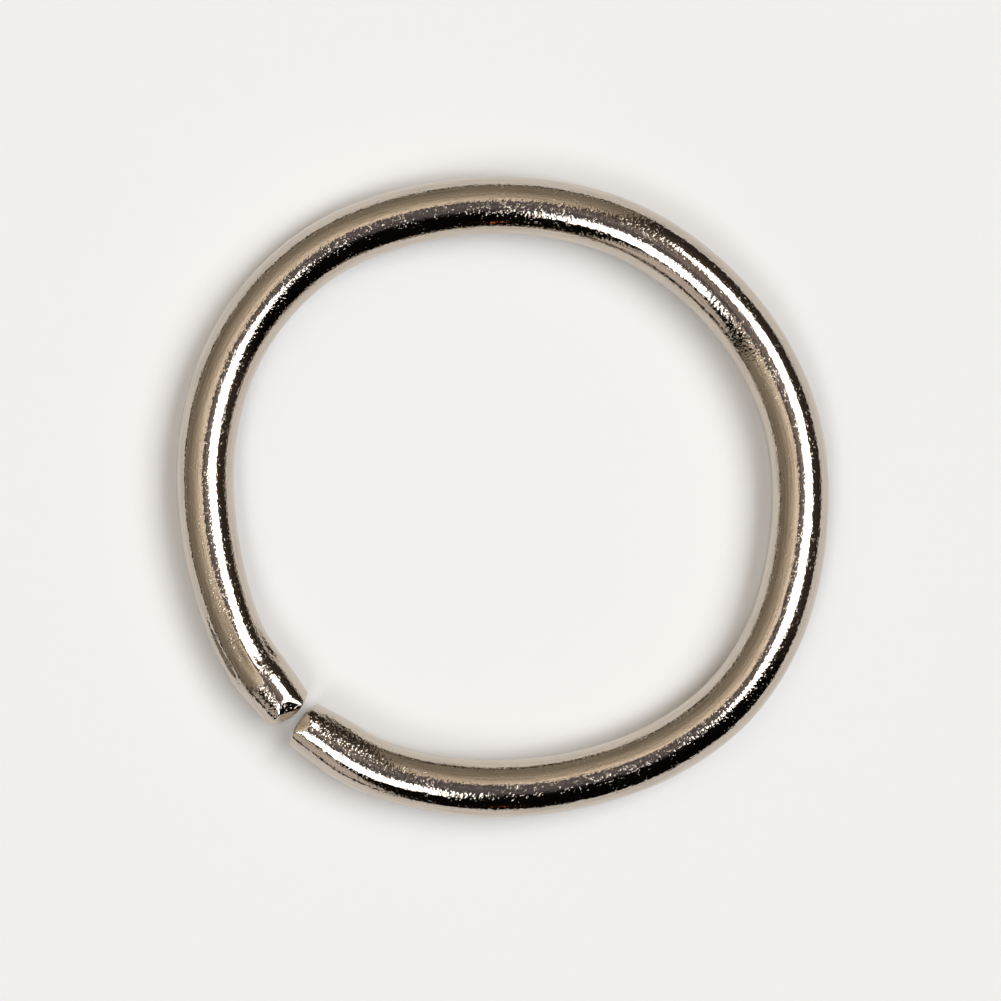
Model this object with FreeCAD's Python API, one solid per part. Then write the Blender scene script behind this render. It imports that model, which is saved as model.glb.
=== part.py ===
"""Open key ring: one loop of round plated steel wire with a butt gap between two pinch-cut ends.

The wire is made in spans that follow one centre line of tangent bends. They run from the crown,
which is opposite the gap, down the left and the right side to the two cut ends. Each span meets
the next one face to face, on a plane square to the wire.
"""
import FreeCAD, Part
import math
import os

# Wire, mm
WIRE_DIAMETER = 2.7
WIRE_RADIUS = WIRE_DIAMETER / 2

# Centre line, mm and degrees, listed from the crown to the gap. The loop is bent a little
# unevenly, so each span has its own bend radius.
CROWN_SWEEP = 18.0
CROWN_BEND_RADIUS = 15.0
CROWN_HEADING = 180.6  # the way the wire leaves the middle of the crown, to the left side
SPAN_SWEEP = 18.0
BEND_RADII = {
    "left": (12.0, 16.0, 18.0, 10.5, 12.0, 12.0, 14.0, 20.0, 9.0),
    "right": (13.5, 12.0, 18.0, 12.0, 10.0, 13.0, 18.0, 17.0, 9.5),
}
ANTICLOCKWISE, CLOCKWISE = 1, -1  # seen from above
SIDE_TURN = {"left": ANTICLOCKWISE, "right": CLOCKWISE}

# Cut ends, mm: straight, drawn in by the cutter and bevelled above and below a rounded nose
END_LENGTH = 2.34
NOSE_RADIUS = 1.17
NOSE_PLAN_RADIUS = {"left": 1.9, "right": 3.0}
BEVEL_LENGTH = 0.35
BEVEL_DROP = {"left": 0.75, "right": 0.30}

UP = FreeCAD.Vector(0, 0, 1)
CLEAR = 2 * WIRE_DIAMETER  # past every face that a cut has to pass


class Station:
    """A point of the centre line, and the heading in which the wire leaves it, in degrees."""

    def __init__(self, point, heading):
        self.point = point
        self.heading = heading

    def along(self):
        angle = math.radians(self.heading)
        return FreeCAD.Vector(math.cos(angle), math.sin(angle), 0)

    def bend_centre(self, radius, turn):
        return self.point + UP.cross(self.along()) * (turn * radius)

    def after_bend(self, radius, sweep, turn):
        centre = self.bend_centre(radius, turn)
        swing = FreeCAD.Rotation(UP, turn * sweep)
        return Station(centre + swing.multVec(self.point - centre), self.heading + turn * sweep)


def bent_span(start, radius, sweep, turn):
    """The wire's disc at a station, revolved about the centre of its bend."""
    disc = Part.Face(Part.Wire(Part.makeCircle(WIRE_RADIUS, start.point, start.along())))
    return disc.revolve(start.bend_centre(radius, turn), UP, turn * sweep)


def bevelled_block(drop):
    """A bar along +X whose nose is bevelled above and below. It is wider than the wire."""
    bevel_top = END_LENGTH - BEVEL_LENGTH - (CLEAR - NOSE_RADIUS) * BEVEL_LENGTH / drop
    top = [(-CLEAR, CLEAR), (bevel_top, CLEAR), (END_LENGTH, NOSE_RADIUS - drop)]
    outline = top + [(x, -z) for x, z in reversed(top)]
    corners = [FreeCAD.Vector(x, -CLEAR, z) for x, z in outline]
    face = Part.Face(Part.makePolygon(corners + corners[:1]))
    return face.extrude(FreeCAD.Vector(0, 2 * CLEAR, 0))


def cut_end(side):
    """A straight end along +X from the origin: a slim cone, rounded in plan and bevelled."""
    plan_radius = NOSE_PLAN_RADIUS[side]
    along = FreeCAD.Vector(1, 0, 0)
    cone = Part.makeCone(WIRE_RADIUS, NOSE_RADIUS, END_LENGTH, FreeCAD.Vector(), along)
    plan_centre = FreeCAD.Vector(END_LENGTH - plan_radius, 0, -CLEAR)
    rounded = cone.common(Part.makeCylinder(plan_radius, 2 * CLEAR, plan_centre))
    return rounded.common(bevelled_block(BEVEL_DROP[side])).Solids[0]


def centre_line(side):
    """The stations of one side, from the middle of the crown to the root of the cut end."""
    turn = SIDE_TURN[side]
    heading = CROWN_HEADING if side == "left" else CROWN_HEADING - 180
    stations = [Station(FreeCAD.Vector(0, CROWN_BEND_RADIUS, WIRE_RADIUS), heading)]
    stations.append(stations[-1].after_bend(CROWN_BEND_RADIUS, CROWN_SWEEP / 2, turn))
    for radius in BEND_RADII[side]:
        stations.append(stations[-1].after_bend(radius, SPAN_SWEEP, turn))
    return stations


def build_side(side):
    """The spans of one side and its cut end, by node name."""
    turn = SIDE_TURN[side]
    stations = centre_line(side)
    spans = {}
    for number, radius in enumerate(BEND_RADII[side], start=1):
        spans[f"{side}_span_{number}"] = bent_span(stations[number], radius, SPAN_SWEEP, turn)
    root = stations[-1]
    end = cut_end(side)
    end.Placement = FreeCAD.Placement(root.point, FreeCAD.Rotation(UP, root.heading))
    spans[f"{side}_cut_end"] = end
    return spans


def build_crown():
    right_edge = centre_line("right")[1]
    start = Station(right_edge.point, right_edge.heading + 180)
    return bent_span(start, CROWN_BEND_RADIUS, CROWN_SWEEP, ANTICLOCKWISE)


def centred(solids):
    """Moves the ring so that the middle of its box, seen from above, is at the origin."""
    box = Part.makeCompound(list(solids.values())).optimalBoundingBox(False)
    shift = FreeCAD.Vector(-box.Center.x, -box.Center.y, 0)
    for solid in solids.values():
        solid.translate(shift)
    return shift


nodes = {"crown": build_crown(), **build_side("left"), **build_side("right")}
to_origin = centred(nodes)

os.makedirs("parts", exist_ok=True)
for name, solid in nodes.items():
    solid.exportStep(f"parts/{name}.step")
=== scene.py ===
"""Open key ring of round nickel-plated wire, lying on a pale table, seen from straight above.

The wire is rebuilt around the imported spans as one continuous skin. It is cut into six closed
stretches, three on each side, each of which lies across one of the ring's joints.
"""

import math

import bpy
import numpy as np
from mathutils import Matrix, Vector, noise


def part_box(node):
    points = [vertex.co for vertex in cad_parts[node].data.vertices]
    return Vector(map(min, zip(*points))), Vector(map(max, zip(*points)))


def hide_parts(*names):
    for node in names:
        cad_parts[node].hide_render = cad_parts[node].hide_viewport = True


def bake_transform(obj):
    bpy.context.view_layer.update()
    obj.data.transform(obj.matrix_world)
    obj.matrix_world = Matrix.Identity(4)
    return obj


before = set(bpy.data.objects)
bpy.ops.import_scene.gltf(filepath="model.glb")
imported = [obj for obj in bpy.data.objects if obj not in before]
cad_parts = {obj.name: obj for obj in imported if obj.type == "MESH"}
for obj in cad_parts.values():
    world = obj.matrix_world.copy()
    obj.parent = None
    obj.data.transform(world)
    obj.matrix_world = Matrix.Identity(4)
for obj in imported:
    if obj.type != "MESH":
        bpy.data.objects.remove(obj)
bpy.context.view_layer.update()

MM = 0.001

# The wire and its centre line, in millimetres and degrees, as in the CAD
WIRE_RADIUS = 1.35
CROWN_SWEEP = 18.0
CROWN_BEND_RADIUS = 15.0
CROWN_HEADING = 180.6
SPAN_SWEEP = 18.0
BEND_RADII = {
    "left": (12.0, 16.0, 18.0, 10.5, 12.0, 12.0, 14.0, 20.0, 9.0),
    "right": (13.5, 12.0, 18.0, 12.0, 10.0, 13.0, 18.0, 17.0, 9.5),
}
SIDE_TURN = {"left": 1, "right": -1}
END_LENGTH = 2.34
NOSE_RADIUS = 1.17
NOSE_PLAN_RADIUS = {"left": 1.9, "right": 3.0}

# Steps and softening of the centre line, mm
LINE_STEP = 0.01
BEND_SOFTENING = 1.6  # length over which one bend radius runs into the next

# The skin's mesh, lengths in mm
ROW_STEP = 0.07
AROUND = 112
DOME_ROWS = 44
DOME_DEPTH = 1.05  # how far the middle of the dome of the cut end lies behind the nose
EDGE_SHARPNESS = 90  # the higher, the sharper the edges between the facets of a cut end
TAPER_ROUNDS = 4  # rounds in which the width of the taper is found, enough for it to settle
FARTHEST = 10.0  # past every point of an end
TINY = 1e-9  # keeps a divisor from being 0

# Where bending has drawn the wire in a little: mm behind the nose, the reach towards the crown
# and towards the nose, and the depth
NECKS = {
    "left": (4.4, 4.0, 1.6, 0.075),
    "right": (5.2, 3.0, 1.8, 0.03),
}

# Where the bending and cutting tools have pressed the surface in: mm behind the nose at which the
# dent starts, is deepest and ends, its depth, then the degrees that it covers, from and to,
# counted from straight up towards the outside
DENTS = {
    "left": (
        (2.05, 3.5, 8.0, 0.09, 4.0, 56.0),
        (2.1, 3.0, 5.5, 0.09, -60.0, -10.0),
    ),
    "right": ((0.15, 0.95, 3.0, 0.045, -52.0, -10.0),),
}
DENT_EDGE = 9.0  # half the width of the soft edges of a dent, degrees

# Where the surface is scuffed: mm behind the nose, from and to, degrees from and to, counted as
# above, and how much
SCUFFS = {
    "left": (
        (0.4, 2.1, 0.0, 100.0, 1.0),
        (2.3, 4.6, -75.0, -5.0, 1.0),
    ),
    "right": ((0.9, 4.6, -70.0, 10.0, 0.6),),
}
SCUFF_NOSE_EDGE = 0.2  # half the width of a scuff's soft edge towards the nose, mm
SCUFF_CROWN_EDGE = 0.25  # and towards the crown
SCUFF_SIDE_EDGE = 8.0  # and at its sides, degrees

# The unevenness of the drawn and bent wire: its height in mm, the noise's scale along and across
# the wire, and a shift along it that sets one apart from the next
WAVES = (
    (0.0045, 0.35, 0.7, 0),
    (0.0014, 1.3, 1.6, 40),
    (0.0003, 3.5, 4.5, 80),
)
WAVES_BELOW = 0.007  # mean depth under the CAD's surface, which keeps every wave inside it


class Plane:
    """A cut across an end: it leaves what lies below it.

    Its foot is (along, outward, up) from the nose, and its normal leans from straight up towards
    the nose by tilt, and out of the wire's axis towards the outside of the ring by yaw.
    """

    def __init__(self, along, outward, up, tilt, yaw):
        lean, turn = math.radians(tilt), math.radians(yaw)
        self.foot = np.array((END_LENGTH + along, outward, up))
        self.normal = np.array(
            (math.sin(lean) * math.cos(turn), math.sin(lean) * math.sin(turn), math.cos(lean))
        )

    def limit(self, x, dx, dy, dz):
        """1 / distance to the plane from the axis point at x, or 0 where it is not met."""
        facing = self.normal[0] * dx + self.normal[1] * dy + self.normal[2] * dz
        room = self.normal @ self.foot - self.normal[0] * x
        return np.maximum(facing, 0.0) / room


CUTS = {
    "left": (
        Plane(-0.33, 0.20, 1.21, 60, 15),
        Plane(-0.74, 0.00, 1.33, 18, -12),
        Plane(-0.35, 0.00, -1.20, 118, 0),
    ),
    "right": (
        Plane(-0.42, 0.00, 1.34, 20, -16),
        Plane(-0.36, 0.00, -1.20, 140, 0),
    ),
}


def softened_bend(s, stations, radii):
    """1 / bend radius at arc lengths s, with each radius run into the next."""
    bend = np.zeros_like(s)
    for start, end, radius in zip(stations[:-1], stations[1:], radii):
        bend[(s >= start) & (s < end)] = 1 / radius
    bend[s < 0] = 1 / radii[0]
    window = np.hanning(int(BEND_SOFTENING / LINE_STEP))
    padded = np.pad(bend, len(window), mode="edge")
    bend = np.convolve(padded, window / window.sum(), mode="same")
    return bend[len(window) : len(window) + len(s)]


def summed(values, s):
    """The running integral of values over s. It is 0 where s is 0."""
    steps = (values[1:] + values[:-1]) / 2 * LINE_STEP
    total = np.concatenate(([0.0], np.cumsum(steps)))
    return total - np.interp(0.0, s, total)


def centre_line(side):
    """Points of one side from the crown's middle, with their arc lengths and headings.

    The line starts a little before the middle and ends at the nose. The stations are the arc
    lengths at which one span meets the next.
    """
    radii = (CROWN_BEND_RADIUS,) + BEND_RADII[side]
    sweeps = (CROWN_SWEEP / 2,) + (SPAN_SWEEP,) * len(BEND_RADII[side])
    lengths = [radius * math.radians(sweep) for radius, sweep in zip(radii, sweeps)]
    stations = np.concatenate(([0.0], np.cumsum(lengths)))
    s = np.arange(-2 * BEND_SOFTENING, stations[-1] + END_LENGTH + LINE_STEP, LINE_STEP)
    bend = softened_bend(s, stations, radii)
    start = CROWN_HEADING if side == "left" else CROWN_HEADING - 180
    heading = math.radians(start) + SIDE_TURN[side] * summed(bend, s)
    x = summed(np.cos(heading), s)
    y = summed(np.sin(heading), s)
    return {"s": s, "x": x, "y": y, "heading": heading, "stations": stations}


def crown_point():
    """The middle of the crown's centre line, in mm, from the crown's packed box."""
    low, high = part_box("crown")
    outer = CROWN_BEND_RADIUS + WIRE_RADIUS
    left_edge = math.radians(CROWN_HEADING - 90 + CROWN_SWEEP / 2)
    middle = math.radians(CROWN_HEADING - 90)
    centre_x = low.x / MM - outer * math.cos(left_edge)
    centre_y = high.y / MM - outer
    return np.array(
        (
            centre_x + CROWN_BEND_RADIUS * math.cos(middle),
            centre_y + CROWN_BEND_RADIUS * math.sin(middle),
        )
    )


CROWN_POINT = crown_point()
LINES = {side: centre_line(side) for side in BEND_RADII}


def on_line(side, s):
    """Points of the centre line and the unit vectors along it and outwards, at arc lengths s."""
    line = LINES[side]
    point = np.stack(
        (
            CROWN_POINT[0] + np.interp(s, line["s"], line["x"]),
            CROWN_POINT[1] + np.interp(s, line["s"], line["y"]),
            np.full_like(s, WIRE_RADIUS),
        ),
        axis=-1,
    )
    heading = np.interp(s, line["s"], line["heading"])
    zero = np.zeros_like(heading)
    along = np.stack((np.cos(heading), np.sin(heading), zero), axis=-1)
    turn = SIDE_TURN[side]
    outward = np.stack((turn * np.sin(heading), -turn * np.cos(heading), zero), axis=-1)
    return point, along, outward


def taper_limit(x, dx, dy, dz):
    """1 / distance to the tapered side of an end, from the axis point at x."""
    taper = (WIRE_RADIUS - NOSE_RADIUS) / END_LENGTH
    distance = WIRE_RADIUS * np.ones_like(dx)
    for _ in range(TAPER_ROUNDS):
        place = np.clip(x + distance * dx, 0.0, END_LENGTH)
        half_width = WIRE_RADIUS - taper * place
        limit = np.hypot(dy / half_width, dz / WIRE_RADIUS)
        distance = 1 / np.maximum(limit, 1 / FARTHEST)
    return limit


def nose_limit(side, x, dx, dy):
    """1 / distance to the nose, which is round in plan, from the axis point at x."""
    plan_radius = NOSE_PLAN_RADIUS[side]
    ahead = np.maximum(x - (END_LENGTH - plan_radius), 0.0)
    level = dx**2 + dy**2
    root = np.sqrt(ahead**2 * dx**2 + level * (plan_radius**2 - ahead**2))
    return level / (root - ahead * dx + TINY)


def reach(side, x, lean, angle):
    """How far the end goes from the axis point at x, mm from the root, in a direction.

    The direction leans from square to the axis towards the nose by lean, and it turns from
    straight up towards the outside of the ring by angle.
    """
    dx = np.sin(lean) * np.ones_like(angle)
    dy = np.cos(lean) * np.sin(angle)
    dz = np.cos(lean) * np.cos(angle)
    limits = [taper_limit(x, dx, dy, dz), nose_limit(side, x, dx, dy)]
    limits += [cut.limit(x, dx, dy, dz) for cut in CUTS[side]]
    power = sum(limit**EDGE_SHARPNESS for limit in limits)
    return power ** (-1 / EDGE_SHARPNESS)


def smooth(value, start, end):
    """A smooth step from 0 at start to 1 at end."""
    t = np.clip((value - start) / (end - start), 0.0, 1.0)
    return t * t * (3 - 2 * t)


def between(value, low, high, low_edge, high_edge):
    """1 between low and high, and 0 outside, with soft edges of these half widths."""
    after_low = smooth(value, low - low_edge, low + low_edge)
    before_high = 1 - smooth(value, high - high_edge, high + high_edge)
    return after_low * before_high


def necked(side, behind):
    """Depth in mm that bending has drawn the wire in, at mm behind the nose."""
    place, crownward, noseward, deepest = NECKS[side]
    past = place - behind
    return deepest * np.exp(-((past / np.where(past < 0, crownward, noseward)) ** 2))


def dented(side, behind, degrees):
    """Depth in mm that the tools have pressed in, at mm behind the nose and degrees."""
    depth = np.zeros_like(behind)
    for start, middle, end, deepest, low, high in DENTS[side]:
        along = np.interp(behind, (start, middle, end), (0.0, deepest, 0.0))
        depth += along * between(degrees, low, high, DENT_EDGE, DENT_EDGE)
    return depth


def scuffed(side, behind, degrees):
    """How scuffed the surface is, from 0 to 1, at mm behind the nose and degrees."""
    amount = np.zeros_like(behind)
    for near, far, low, high, strength in SCUFFS[side]:
        along = between(behind, near, far, SCUFF_NOSE_EDGE, SCUFF_CROWN_EDGE)
        around = between(degrees, low, high, SCUFF_SIDE_EDGE, SCUFF_SIDE_EDGE)
        amount = np.maximum(amount, strength * along * around)
    return amount


def unevenness(points):
    """Depth in mm that the wire is short of a true cylinder, at unrolled points."""
    depth = np.zeros(len(points))
    for i, (x, y, z) in enumerate(points):
        for height, along, across, shift in WAVES:
            place = Vector((x * along + shift, y * across, z * across))
            depth[i] += height * noise.noise(place)
    return depth + WAVES_BELOW


def skin_rows(side):
    """The arc length of each row's axis point, and how far the row leans towards the nose."""
    dome = LINES[side]["stations"][-1] + END_LENGTH - DOME_DEPTH
    count = int(round(dome / ROW_STEP))
    straight = np.linspace(0.0, dome, count + 1)
    s = np.concatenate(([-dome / count], straight, np.full(DOME_ROWS, dome)))
    lean = np.zeros_like(s)
    lean[-DOME_ROWS:] = np.linspace(0, math.pi / 2, DOME_ROWS + 1)[1:]
    return s, lean


def side_skin(side):
    """The skin of one side, in rows from just before the crown's middle to the nose.

    Each point has its spot in metres, its unrolled place in mm, and how scuffed it is. The arc
    length of each row comes after them.
    """
    rows_s, rows_lean = skin_rows(side)
    circle = np.linspace(0, 2 * math.pi, AROUND, endpoint=False)
    s, angle = np.meshgrid(rows_s, circle, indexing="ij")
    lean = np.meshgrid(rows_lean, circle, indexing="ij")[0]
    root = LINES[side]["stations"][-1]
    axis_behind = root + END_LENGTH - s
    distance = reach(side, s - root, lean, angle) - necked(side, axis_behind)
    behind = axis_behind - distance * np.sin(lean)
    degrees = np.degrees((angle + math.pi) % (2 * math.pi) - math.pi)
    distance -= dented(side, behind, degrees)
    ahead = distance * np.sin(lean)
    out = distance * np.cos(lean) * np.sin(angle)
    up = distance * np.cos(lean) * np.cos(angle)
    unrolled = np.stack((SIDE_TURN[side] * (s + ahead), out, up), axis=-1)
    depth = unevenness(unrolled.reshape(-1, 3)).reshape(s.shape)
    scale = 1 - depth / distance
    point, along, outward = on_line(side, rows_s)
    spot = (
        point[:, None]
        + along[:, None] * (ahead * scale)[..., None]
        + outward[:, None] * (out * scale)[..., None]
        + np.array((0, 0, 1.0)) * (up * scale)[..., None]
    )
    scuff = scuffed(side, behind, degrees)[..., None]
    return {"spot": spot * MM, "unrolled": unrolled, "scuff": scuff}, rows_s


def unit(vectors):
    length = np.linalg.norm(vectors, axis=-1, keepdims=True)
    return vectors / np.maximum(length, TINY * MM**2)


def skin_normals(spot, side):
    """Unit normals of a grid of points whose rows close on themselves."""
    across = np.roll(spot, -1, axis=1) - np.roll(spot, 1, axis=1)
    forward = np.gradient(spot, axis=0)
    return unit(np.cross(across, forward) * SIDE_TURN[side])


def closed_faces(side, row_count, has_nose):
    """Faces of a tube of rows, with a flat cap at its start, and a cap or a nose at its end."""
    faces = []
    for base in range(0, (row_count - 1) * AROUND, AROUND):
        for j in range(AROUND):
            k = (j + 1) % AROUND
            faces.append((base + j, base + k, base + AROUND + k, base + AROUND + j))
    faces.append(tuple(reversed(range(AROUND))))
    base = (row_count - 1) * AROUND
    if has_nose:
        tip = row_count * AROUND
        faces += [(base + j, base + (j + 1) % AROUND, tip) for j in range(AROUND)]
    else:
        faces.append(tuple(range(base, base + AROUND)))
    if SIDE_TURN[side] < 0:
        faces = [face[::-1] for face in faces]
    return faces


def write_attribute(mesh, name, kind, field, values):
    attribute = mesh.attributes.new(name, kind, "POINT")
    attribute.data.foreach_set(field, values.astype(np.float32).ravel())


def write_normals(mesh, vertex_normals):
    """Smooth normals from the skin, except on the flat caps."""
    corners = np.empty(len(mesh.loops), np.int32)
    mesh.loops.foreach_get("vertex_index", corners)
    normals = vertex_normals[corners]
    for polygon in mesh.polygons:
        if polygon.loop_total == AROUND:
            cap = slice(polygon.loop_start, polygon.loop_start + polygon.loop_total)
            normals[cap] = polygon.normal
    mesh.polygons.foreach_set("use_smooth", [True] * len(mesh.polygons))
    mesh.normals_split_custom_set([tuple(normal) for normal in normals])


def stretch(name, side, skin, first, last):
    """A closed mesh of the skin's rows first to last. The skin's last row is a single point."""
    has_nose = last == len(skin["spot"]) - 1
    row_count = last - first + (0 if has_nose else 1)
    points = {}
    for key, rows in skin.items():
        points[key] = rows[first : first + row_count].reshape(-1, rows.shape[-1])
    if has_nose:
        tip = {key: rows[last].mean(axis=0) for key, rows in skin.items()}
        tip["normal"] = unit(skin["normal"][last - 1].mean(axis=0))
        points = {key: np.vstack((points[key], tip[key])) for key in points}
    mesh = bpy.data.meshes.new(name)
    corners = [tuple(spot) for spot in points["spot"]]
    mesh.from_pydata(corners, [], closed_faces(side, row_count, has_nose))
    mesh.update()
    write_attribute(mesh, "wire", "FLOAT_VECTOR", "vector", points["unrolled"])
    write_attribute(mesh, "scuff", "FLOAT", "value", points["scuff"])
    write_normals(mesh, points["normal"])
    piece = bpy.data.objects.new(name, mesh)
    bpy.context.scene.collection.objects.link(piece)
    return piece


# The stretches of one side, from the crown to the nose: its name, the two bodies that it joins,
# the spans in whose middles the bend starts and ends, and the nodes that it replaces
STRETCHES = (
    ("shoulder_wire", ("crown", "shoulder"), (1, 2), ("span_1", "span_2")),
    ("side_wire", ("shoulder", "side"), (2, 3), ("span_3",)),
    (
        "arm_wire",
        ("side", "arm"),
        (4, 5),
        ("span_4", "span_5", "span_6", "span_7", "span_8", "span_9", "cut_end"),
    ),
)


def full_name(side, name):
    """The crown belongs to both sides. All other names start with their side."""
    return name if name == "crown" else f"{side}_{name}"


def middle_of(side, span):
    stations = LINES[side]["stations"]
    return (stations[span] + stations[span + 1]) / 2


def cut_rows(side, rows_s):
    """The rows at which the skin is cut: mid crown, mid span 2, the end of span 3, the nose."""
    cuts = (middle_of(side, 2), LINES[side]["stations"][4])
    return [1] + [int(np.argmin(np.abs(rows_s - cut))) for cut in cuts] + [len(rows_s) - 1]


def build_side(side, metal):
    skin, rows_s = side_skin(side)
    skin["normal"] = skin_normals(skin["spot"], side)
    rows = cut_rows(side, rows_s)
    for number, (label, bodies, bend, nodes) in enumerate(STRETCHES):
        piece = stretch(f"{side}_{label}", side, skin, rows[number], rows[number + 1])
        piece.data.materials.append(metal)
        bodies = [full_name(side, body) for body in bodies]
        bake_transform(piece)
        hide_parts(*(f"{side}_{node}" for node in nodes))
        if side == "left" and label == "shoulder_wire":
            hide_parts("crown")


def add(tree, kind, **values):
    """A node with its settings, and its inputs set from values or linked from sockets."""
    node = tree.nodes.new(kind)
    inputs = values.pop("inputs", {})
    for key, value in values.items():
        setattr(node, key, value)
    for key, value in inputs.items():
        socket = node.inputs[key]
        if isinstance(value, bpy.types.NodeSocket):
            tree.links.new(value, socket)
        else:
            socket.default_value = value
    return node


def sums(tree, operation, *terms):
    inputs = dict(enumerate(terms))
    return add(tree, "ShaderNodeMath", operation=operation, inputs=inputs).outputs[0]


def ramp(tree, value, start, end, low=0.0, high=1.0):
    """A smooth step from low at start to high at end."""
    return add(
        tree,
        "ShaderNodeMapRange",
        interpolation_type="SMOOTHSTEP",
        inputs={
            "Value": value, "From Min": start, "From Max": end, "To Min": low, "To Max": high,
        },
    ).outputs[0]


def grain(tree, place, scale, detail, along=1.0, rough=0.5):
    """Noise on the unrolled wire. It is drawn out along the wire where along is under 1."""
    squeezed = add(
        tree,
        "ShaderNodeVectorMath",
        operation="MULTIPLY",
        inputs={0: place, 1: (along, 1.0, 1.0)},
    ).outputs[0]
    return add(
        tree,
        "ShaderNodeTexNoise",
        inputs={"Vector": squeezed, "Scale": scale, "Detail": detail, "Roughness": rough},
    ).outputs["Fac"]


# The plate: its colours, its roughness from and to, and the depth of its bumps in metres
PLATE_LIGHT = (0.612, 0.544, 0.472, 1)
PLATE_DARK = (0.588, 0.521, 0.450, 1)
PLATE_STREAK = (0.480, 0.418, 0.355, 1)
PLATE_ROUGHNESS = (0.035, 0.08)
BUMP_DEPTH = 0.0000075
LINE_SHARE = 0.25  # of the bumps' depth
SPECK_SHARE = 0.55
SCUFF_GAIN = 0.7  # how much deeper the bumps are where the wire is scuffed


def plate_height(tree, place, mottle):
    """Fine mottling, faint draw lines, raised specks in clusters, and a few pits."""
    scuff = add(tree, "ShaderNodeAttribute", attribute_name="scuff").outputs["Fac"]
    strong = sums(tree, "MULTIPLY_ADD", scuff, SCUFF_GAIN, 1.0)
    lines = grain(tree, place, 12.0, 1.0, along=0.05)
    height = sums(tree, "MULTIPLY", lines, LINE_SHARE)
    height = sums(tree, "MULTIPLY_ADD", mottle, strong, height)
    specks = ramp(tree, grain(tree, place, 8.5, 1.5), 0.58, 0.70)
    clusters = ramp(tree, grain(tree, place, 1.1, 1.5), 0.36, 0.62, 0.25, 1.0)
    raised = sums(tree, "MULTIPLY", sums(tree, "MULTIPLY", strong, clusters), SPECK_SHARE)
    height = sums(tree, "MULTIPLY_ADD", specks, raised, height)
    cells = add(
        tree,
        "ShaderNodeTexVoronoi",
        inputs={"Vector": place, "Scale": 1.3, "Randomness": 1.0},
    ).outputs["Distance"]
    pits = ramp(tree, cells, 0.02, 0.07, 1.0, 0.0)
    return sums(tree, "SUBTRACT", height, pits)


def plate_tone(tree, place):
    """Two close tones in patches, and darker streaks along the wire."""
    patches = grain(tree, place, 0.8, 2.0)
    streaks = ramp(tree, grain(tree, place, 12.0, 2.5, along=0.03, rough=0.75), 0.44, 0.66)
    tone = add(
        tree,
        "ShaderNodeMix",
        data_type="RGBA",
        inputs={"Factor": patches, "A": PLATE_LIGHT, "B": PLATE_DARK},
    ).outputs["Result"]
    return add(
        tree,
        "ShaderNodeMix",
        data_type="RGBA",
        inputs={"Factor": streaks, "A": tone, "B": PLATE_STREAK},
    ).outputs["Result"]


def nickel():
    """Bright nickel plate over drawn wire."""
    material = bpy.data.materials.new("nickel_plate")
    material.use_nodes = True
    tree = material.node_tree
    tree.nodes.clear()
    place = add(tree, "ShaderNodeAttribute", attribute_name="wire").outputs["Vector"]
    mottle = grain(tree, place, 7.0, 1.0)
    height = plate_height(tree, place, mottle)
    bump = add(
        tree,
        "ShaderNodeBump",
        inputs={"Strength": 1.0, "Distance": BUMP_DEPTH, "Height": height},
    ).outputs["Normal"]
    low, high = PLATE_ROUGHNESS
    roughness = add(
        tree,
        "ShaderNodeMapRange",
        inputs={"Value": mottle, "From Min": 0.3, "From Max": 0.7, "To Min": low, "To Max": high},
    ).outputs[0]
    shader = add(
        tree,
        "ShaderNodeBsdfPrincipled",
        inputs={
            "Base Color": plate_tone(tree, place),
            "Metallic": 1.0,
            "Roughness": roughness,
            "Normal": bump,
        },
    )
    output = add(tree, "ShaderNodeOutputMaterial")
    tree.links.new(shader.outputs[0], output.inputs["Surface"])
    return material


# The studio. The camera looks straight down, and the picture's right is this many degrees
# anticlockwise of the row frame's +X, seen from above. All of the studio is set out in picture
# axes: right, up in the picture, and towards the camera. Azimuths are in degrees, anticlockwise
# from the picture's right. A softness is half the width of an edge, as a sine.
PICTURE_TURN = 43.0


def clockwise_of(azimuth):
    """The normal of the upright plane that has all directions clockwise of azimuth in front."""
    angle = math.radians(azimuth)
    return math.sin(angle), -math.cos(angle), 0


def anticlockwise_of(azimuth):
    angle = math.radians(azimuth)
    return -math.sin(angle), math.cos(angle), 0


# Panels hang on a ceiling one metre up. Their corners are (right, up) in the picture, in metres,
# anticlockwise.
MAIN_LIGHT = (
    (0.36, -0.35), (1.05, -0.36), (1.12, 0.15), (1.05, 0.62), (0.55, 0.76), (0.35, 0.50),
)
MAIN_LIGHT_WING = ((0.20, -0.23), (0.36, -0.35), (0.36, 0.03), (0.25, -0.04))
SECOND_LIGHT = (
    (-0.63, -0.64), (-0.42, -0.86), (-0.14, -0.88), (-0.07, -0.42), (-0.15, -0.20), (-0.34, -0.32),
)
PALE_CARD = ((-4.6, -3.4), (-2.5, -9.2), (-0.60, -0.97), (-0.71, -0.85), (-1.35, -1.10))
WARM_LAMP = ((-0.01, -3.7), (0.05, -3.7), (0.05, -3.3), (-0.01, -3.3))
LIGHT_COLOUR = (5.2, 5.2, 5.2)
PALE_COLOUR = (0.69, 0.62, 0.57)
LAMP_COLOUR = (2.0, 0.62, 0.10)

# A large card covers the rays that are in front of both of its sides and of at least one of its
# tops. Each of these is the normal of a plane through the ring, and a softness.
CARD_SIDES = (((-0.885, 0.465, -0.112), 0.015), (clockwise_of(213), 0.012))
CARD_TOPS = (((-1.0, 0.0, -0.12), 0.02), ((-0.29, 0.25, -0.081), 0.02))
CARD_COLOUR = (1.0, 0.862, 0.675)
CARD_GLOW = (4.5, 0.84, 0.265)  # the ray's height to this power, times this, plus this
CARD_FOOT = (0.03, 0.10)  # the heights of the ray, as sines, over which both cards start

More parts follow.
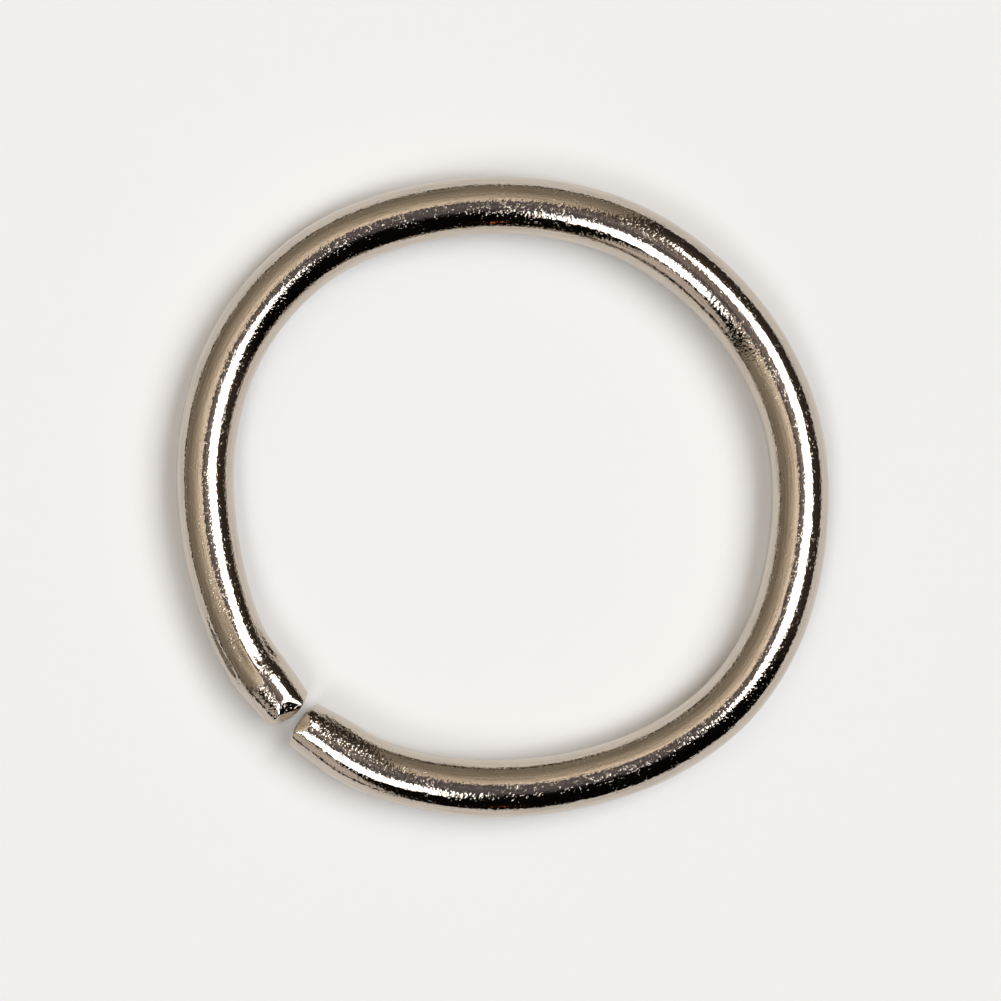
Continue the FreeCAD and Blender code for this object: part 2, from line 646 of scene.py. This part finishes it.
# The room on the picture's right, the ceiling straight above, and a trace of light from all of
# the upper half
ROOM_SIDES = ((anticlockwise_of(-25), 0.12), (clockwise_of(68), 0.03))
ROOM_COLOUR = (1.0, 0.77, 0.62)
ROOM_GLOW = (3.0, 0.16, 0.034)
CEILING_COLOUR = (0.12, 0.112, 0.120)
CEILING_EDGE = (0.86, 0.97)  # heights of the ray, as sines
UPPER_COLOUR = (0.003, 0.0025, 0.002)

BACKDROP_COLOUR = (0.86, 0.835, 0.81, 1)


def vector_math(tree, operation, output, **inputs):
    """A vector node, whose inputs are called a, b and scale."""
    sockets = {"a": 0, "b": 1, "scale": "Scale"}
    inputs = {sockets[key]: value for key, value in inputs.items()}
    node = add(tree, "ShaderNodeVectorMath", operation=operation, inputs=inputs)
    return node.outputs[output]


def in_front(tree, ray, plane, softness):
    """1 for rays in front of a plane through the ring, given by its normal, and 0 behind."""
    facing = vector_math(tree, "DOT_PRODUCT", "Value", a=ray, b=Vector(plane).normalized())
    return ramp(tree, facing, -softness, softness)


def product(tree, first, *others):
    for other in others:
        first = sums(tree, "MULTIPLY", first, other)
    return first


def panel(tree, ray, corners, softness):
    """1 for rays that go through a panel on the ceiling."""
    tops = [Vector((x, y, 1.0)) for x, y in corners]
    edges = []
    for a, b in zip(tops, tops[1:] + tops[:1]):
        edges.append(in_front(tree, ray, a.cross(b), softness))
    return product(tree, *edges)


def glow(tree, up, power, gain, base):
    return sums(tree, "MULTIPLY_ADD", sums(tree, "POWER", up, power), gain, base)


def card(tree, ray, up, foot):
    sides = [in_front(tree, ray, *edge) for edge in CARD_SIDES]
    tops = [in_front(tree, ray, *edge) for edge in CARD_TOPS]
    light = product(tree, glow(tree, up, *CARD_GLOW), foot)
    return product(tree, product(tree, *sides), sums(tree, "MAXIMUM", *tops), light)


def room(tree, ray, up):
    sides = [in_front(tree, ray, *edge) for edge in ROOM_SIDES]
    return product(tree, product(tree, *sides), glow(tree, up, *ROOM_GLOW))


def surroundings(tree, ray):
    """The light that comes to the ring along each ray."""
    up = add(tree, "ShaderNodeSeparateXYZ", inputs={0: ray}).outputs["Z"]
    up = sums(tree, "MAXIMUM", up, 0.0)
    foot = ramp(tree, up, *CARD_FOOT)
    main = panel(tree, ray, MAIN_LIGHT, 0.02)
    wing = panel(tree, ray, MAIN_LIGHT_WING, 0.03)
    pale = product(tree, panel(tree, ray, PALE_CARD, 0.03), foot)
    parts = (
        (UPPER_COLOUR, in_front(tree, ray, (0, 0, 1), 0.002)),
        (ROOM_COLOUR, room(tree, ray, up)),
        (CEILING_COLOUR, ramp(tree, up, *CEILING_EDGE)),
        (CARD_COLOUR, card(tree, ray, up, foot)),
        (PALE_COLOUR, pale),
        (LIGHT_COLOUR, sums(tree, "MAXIMUM", main, wing)),
        (LIGHT_COLOUR, panel(tree, ray, SECOND_LIGHT, 0.015)),
        (LAMP_COLOUR, panel(tree, ray, WARM_LAMP, 0.006)),
    )
    total = (0.0, 0.0, 0.0)
    for colour, mask in parts:
        light = vector_math(tree, "SCALE", "Vector", a=colour, scale=mask)
        total = vector_math(tree, "ADD", "Vector", a=total, b=light)
    return total


def studio():
    world = bpy.data.worlds.new("studio")
    bpy.context.scene.world = world
    world.use_nodes = True
    tree = world.node_tree
    tree.nodes.clear()
    seen = add(tree, "ShaderNodeTexCoord").outputs["Generated"]
    ray = add(
        tree,
        "ShaderNodeVectorRotate",
        rotation_type="Z_AXIS",
        inputs={"Vector": seen, "Angle": -math.radians(PICTURE_TURN)},
    ).outputs[0]
    colour = surroundings(tree, ray)
    light = add(tree, "ShaderNodeBackground", inputs={"Color": colour, "Strength": 1.0})
    backdrop = add(
        tree, "ShaderNodeBackground", inputs={"Color": BACKDROP_COLOUR, "Strength": 1.0}
    )
    camera_ray = add(tree, "ShaderNodeLightPath").outputs["Is Camera Ray"]
    mix = add(
        tree,
        "ShaderNodeMixShader",
        inputs={0: camera_ray, 1: light.outputs[0], 2: backdrop.outputs[0]},
    )
    output = add(tree, "ShaderNodeOutputWorld")
    tree.links.new(mix.outputs[0], output.inputs["Surface"])


TABLE_HALF = 1.2  # half the width, m
TABLE_GAP = 0.01 * MM  # under the ring
TABLE_COLOUR = (0.90, 0.912, 0.925, 1)
TABLE_ROUGHNESS = 0.7


def table():
    """A pale table top, just under the ring."""
    corners = []
    for x, y in ((-1, -1), (1, -1), (1, 1), (-1, 1)):
        corners.append((x * TABLE_HALF, y * TABLE_HALF, -TABLE_GAP))
    mesh = bpy.data.meshes.new("table_top")
    mesh.from_pydata(corners, [], [(0, 1, 2, 3)])
    top = bpy.data.objects.new("table_top", mesh)
    bpy.context.scene.collection.objects.link(top)
    material = bpy.data.materials.new("white_table")
    material.use_nodes = True
    shader = material.node_tree.nodes["Principled BSDF"]
    shader.inputs["Base Color"].default_value = TABLE_COLOUR
    shader.inputs["Roughness"].default_value = TABLE_ROUGHNESS
    mesh.materials.append(material)


# The camera: a long lens straight above, mm. The picture is this wide at the wire's middle.
PICTURE_WIDTH = 46.55
PICTURE_CENTRE = (0.08, -0.10)
SENSOR_WIDTH = 36.0
LENS = 232.0
CLIP = (0.01, 10.0)  # m


def camera():
    data = bpy.data.cameras.new("camera")
    data.sensor_width = SENSOR_WIDTH
    data.lens = LENS
    data.clip_start, data.clip_end = CLIP
    eye = bpy.data.objects.new("camera", data)
    distance = PICTURE_WIDTH / SENSOR_WIDTH * LENS
    eye.location = Vector((*PICTURE_CENTRE, WIRE_RADIUS + distance)) * MM
    eye.rotation_euler = (0, 0, math.radians(PICTURE_TURN))
    bpy.context.scene.collection.objects.link(eye)
    bpy.context.scene.camera = eye


metal = nickel()
for side in BEND_RADII:
    build_side(side, metal)
studio()
table()
camera()
bpy.context.scene.view_settings.view_transform = "Standard"
